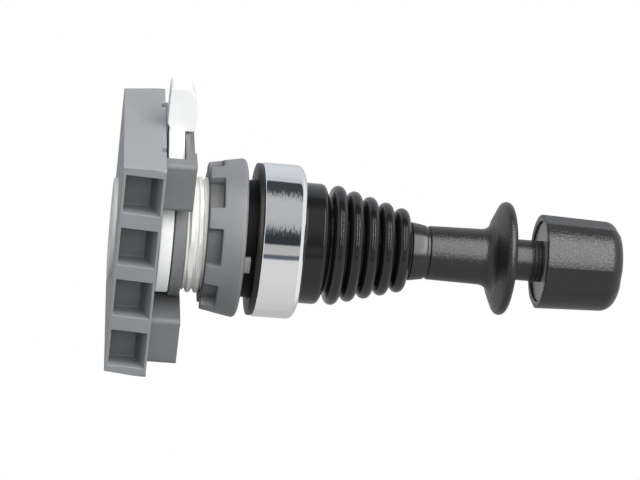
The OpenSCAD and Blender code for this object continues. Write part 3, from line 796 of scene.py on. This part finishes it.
# ---------------------------------------------------------------- interlock collar
# Pull-up collar in grained charcoal plastic: a slim tube over the lock spring that flares into a
# round-edged finger flange.
collar_low, collar_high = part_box("interlock_collar")
flange_r = collar_high.x
rim_r = 1.0 * mm
flange_z = collar_high.z - rim_r
flare_r = 2.5 * mm
tube_r = 5.35 * mm
flare_z = flange_z - flare_r - rim_r - 1.1 * mm
foot_round = 0.23 * mm
collar_profile = [(shaft_bore_r, collar_low.z), (4.9 * mm, collar_low.z)]
collar_profile += arc((4.92 * mm, collar_low.z + foot_round), foot_round, -90, 0, 4)
collar_profile += [(tube_r, flare_z)]
for a in range(6, 91, 6):
    flare_out = flare_r - flare_r * math.cos(math.radians(a))
    collar_profile.append((tube_r + flare_out, flare_z + flare_r * math.sin(math.radians(a))))
collar_profile += arc((flange_r - rim_r, flange_z), rim_r, -62, 90, 14)
collar_profile += [(flange_r - 3.2 * mm, collar_high.z), (4.4 * mm, collar_high.z)]
# The mouth's chamfer, the close bore, and the wide bore round the lock spring.
collar_profile += [(4.0 * mm, collar_high.z - 0.3 * mm)]
collar_profile += in_mm((4.0, 44.0), (4.5, 44.0), (4.5, 35.0), (3.05, 35.0))
collar_black = grained_black("collar_black", 0.29, 0.1 * mm, 0.42 * mm)
collar = put(
    "interlock_collar_moulding", lathe("interlock_collar_moulding", collar_profile, 160), collar_black,
    "interlock", "interlock_collar",
)


# ---------------------------------------------------------------- knob
# Charcoal cap with four broad rounded faces and four narrow flats between them. Its lower end is
# hollow and closed by a grey disc; the rim round the disc has a painted highlight.
knob_low, knob_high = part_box("knob")
knob_r = 9.05 * mm
knob_taper = math.tan(math.radians(1.85))
knob_round = 2.9 * mm
knob_turn = -7.5
flat_half = 29.5 / 2


def knob_radius(z, angle):
    """Radius of the knob's side: a round face, cut by the nearest flat."""
    side = knob_r - (z - knob_low.z) * knob_taper
    off = (angle - knob_turn + 45) % 90 - 45
    flat = side * math.cos(math.radians(flat_half)) / math.cos(math.radians(off))
    return min(side, flat)


def knob_shell():
    # Points stand on the edges of the flats, which stay crisp.
    angles = []
    for quarter in range(4):
        middle = knob_turn + 90 * quarter
        angles += [middle - flat_half + 2 * flat_half * i / 14 for i in range(14)]
        angles += [middle + flat_half + (90 - 2 * flat_half) * i / 34 for i in range(34)]
    round_z = knob_high.z - knob_round
    rows = []

    def row(z, change=0.0):
        rows.append(ring(z, lambda a: knob_radius(min(z, round_z), a) + change, angles))

    row(knob_low.z, -0.22 * mm)
    row(knob_low.z + 0.07 * mm, -0.06 * mm)
    row(knob_low.z + 0.24 * mm)
    for i in range(1, 9):
        row(knob_low.z + (round_z - knob_low.z) * i / 8)
    for a in range(6, 91, 6):
        up, back = math.sin(math.radians(a)), 1 - math.cos(math.radians(a))
        row(round_z + knob_round * up, -knob_round * back)
    crown, crown_rise = rows[-1], 0.1 * mm
    for share in (0.75, 0.5, 0.25, 0.02):
        top = knob_high.z + (1 - share) * crown_rise
        rows.append([(x * share, y * share, top) for x, y, z in crown])
    # The shaft's blind hole, and the wider hollow that the disc closes.
    inside = in_mm(
        (0.01, 66.9), (5.45, 66.9), (5.45, 58.0), (4.05, 58.0), (4.05, 57.45), (7.8, 57.45), (7.8, 55.85)
    )
    rows += [round_ring(r, z, angles) for r, z in inside + [(8.0 * mm, knob_low.z)]]
    return surface("knob_cap", rows, closed=True, sharp=9)


# The ring of painted highlight at the knob's lower rim: inner radius, outer radius and top.
knob_highlight_lip = (7.82 * mm, 8.2 * mm, knob_low.z + 0.3 * mm)
knob_black = grained_black("knob_black", 0.27, 0.1 * mm, 0.42 * mm, painted_highlight_lip=knob_highlight_lip)
knob = put("knob_cap", knob_shell(), knob_black, "lever", "knob")
disc_grey = moulded_plastic("disc_grey", (0.55, 0.54, 0.54), (0.46, 0.45, 0.45), 0.24)
cover("knob_disc", disc_grey)


# ---------------------------------------------------------------- works inside
# Steel pins, washers and rod, die-cast gimbal ring, acetal plungers and brass bush. Most of it
# only shows when the pieces are taken apart.
def bright_metal(name, colour, rough):
    """Machined metal with fine turning marks round the stick's axis."""
    paint = Finish(name, Metallic=1.0)
    z = paint.axes()[2]
    turned = (z * 9000).sine()
    marks = paint.noise(0.4 * mm, 2, 0.6)
    stain = paint.noise(4 * mm, 3, 0.6)
    worn = tuple(0.8 * c for c in colour)
    return paint.skin(
        Base_Color=paint.mix(stain.between(0.35, 0.7), worn, colour),
        Roughness=rough - 0.06 + 0.12 * marks,
        Normal=paint.bump(turned * 0.3 + marks * 0.7, 0.004 * mm),
    )


steel = bright_metal("bright_steel", (0.58, 0.58, 0.60), 0.28)
for node in (
    "spring_seat", "gimbal_pins", "lever_pins", "spring_cap", "spring_washer", "lock_pin", "lock_rod",
):
    cover(node, steel)
zinc = bright_metal("cast_zinc", (0.52, 0.53, 0.55), 0.42)
cover("gimbal_ring", zinc)
brass = bright_metal("turned_brass", (0.78, 0.57, 0.26), 0.26)
cover("knob_bush", brass)
for node in (
    "barrel_cap", "guide_plate", "swash_plate", "plunger_xp", "plunger_xn", "plunger_yp", "plunger_yn",
):
    cover(node, acetal)


# ---------------------------------------------------------------- springs
# Coiled from round bright wire. The centring spring is coned and stands between the seat and the
# cap inside the boot; the lock spring sits in the interlock collar.
def coil(name, low, high, low_r, high_r, wire, turns):
    """Round wire wound along the stick's axis, with closed ends."""
    spokes, per_turn = 10, 28
    count = int(turns * per_turn)
    rows = []
    for i in range(count + 1):
        t = i / count
        a = 2 * math.pi * turns * t
        r = low_r + (high_r - low_r) * t
        z = low + wire / 2 + (high - low - wire) * t
        centre = Vector((r * math.cos(a), r * math.sin(a), z))
        out = Vector((math.cos(a), math.sin(a), 0))
        around = []
        for k in range(spokes):
            b = 2 * math.pi * k / spokes
            p = centre + out * (wire / 2 * math.cos(b)) + Vector((0, 0, wire / 2 * math.sin(b)))
            around.append(tuple(p))
        rows.append(around)
    mesh = surface(name, rows)
    shape = bmesh.new()
    shape.from_mesh(mesh)
    bmesh.ops.holes_fill(shape, edges=[e for e in shape.edges if e.is_boundary])
    shape.to_mesh(mesh)
    shape.free()
    return mesh


spring_low, spring_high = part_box("return_spring")
spring_length = spring_high.z - spring_low.z
spring_wire = 0.8 * mm
spring_turns = 8
spring_foot_r = 7.6 * mm
spring_top_r = 4.0 * mm


def spring_radius(z):
    return spring_foot_r + (spring_top_r - spring_foot_r) * (z - spring_low.z) / spring_length


for name, bodies, low, high in (
    ("return_spring_lower", ("mount_body", "gimbal"), spring_low.z, lean_middle),
    ("return_spring_upper", ("gimbal", "lever"), lean_middle, spring_high.z),
):
    turns = spring_turns * (high - low) / spring_length
    wire_mesh = coil(name, low, high, spring_radius(low), spring_radius(high), spring_wire, turns)
    bending(name, wire_mesh, steel, "return_spring")

lock_low, lock_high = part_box("interlock_spring")
lock_wire = 0.5 * mm
lock_r = 3.75 * mm
lock_turns = 4
lock_coil = coil("lock_coil", lock_low.z, lock_high.z, lock_r, lock_r, lock_wire, lock_turns)
lock_spring = put("lock_coil", lock_coil, steel, "lever", "interlock_spring")
pull = next(j for j in frame["joints"] if j["name"] == "collar_pull")["range_m"][1]
length = lock_high.z - lock_low.z
(length - pull) / length
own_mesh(lock_spring)


# ---------------------------------------------------------------- lamp flags
# Flags on the studio stands: the big softbox stays off the chrome and the boot, which would mirror
# it whole, the two strips stay off the chrome, and one lamp lights only the stick's black pieces.
# The ground has its own even light from overhead.
def flag(light, state, *pieces):
    """Lights only these pieces (INCLUDE) or all others (EXCLUDE)."""
    receivers = bpy.data.collections.new(light.name + "_receivers")
    for piece in pieces:
        receivers.objects.link(piece)
    light.light_linking.receiver_collection = receivers
    for member in receivers.collection_objects:
        member.light_linking.link_state = state


flag(key_light, "EXCLUDE", bezel, boot_lower, boot_upper, ground)
for strip in strips:
    flag(strip, "EXCLUDE", bezel, ground)
flag(back_light, "EXCLUDE", ground)
flag(overhead, "INCLUDE", ground)
flag(black_lift, "INCLUDE", knob, collar, boot_ring, frame["nodes"]["lever_shaft"])
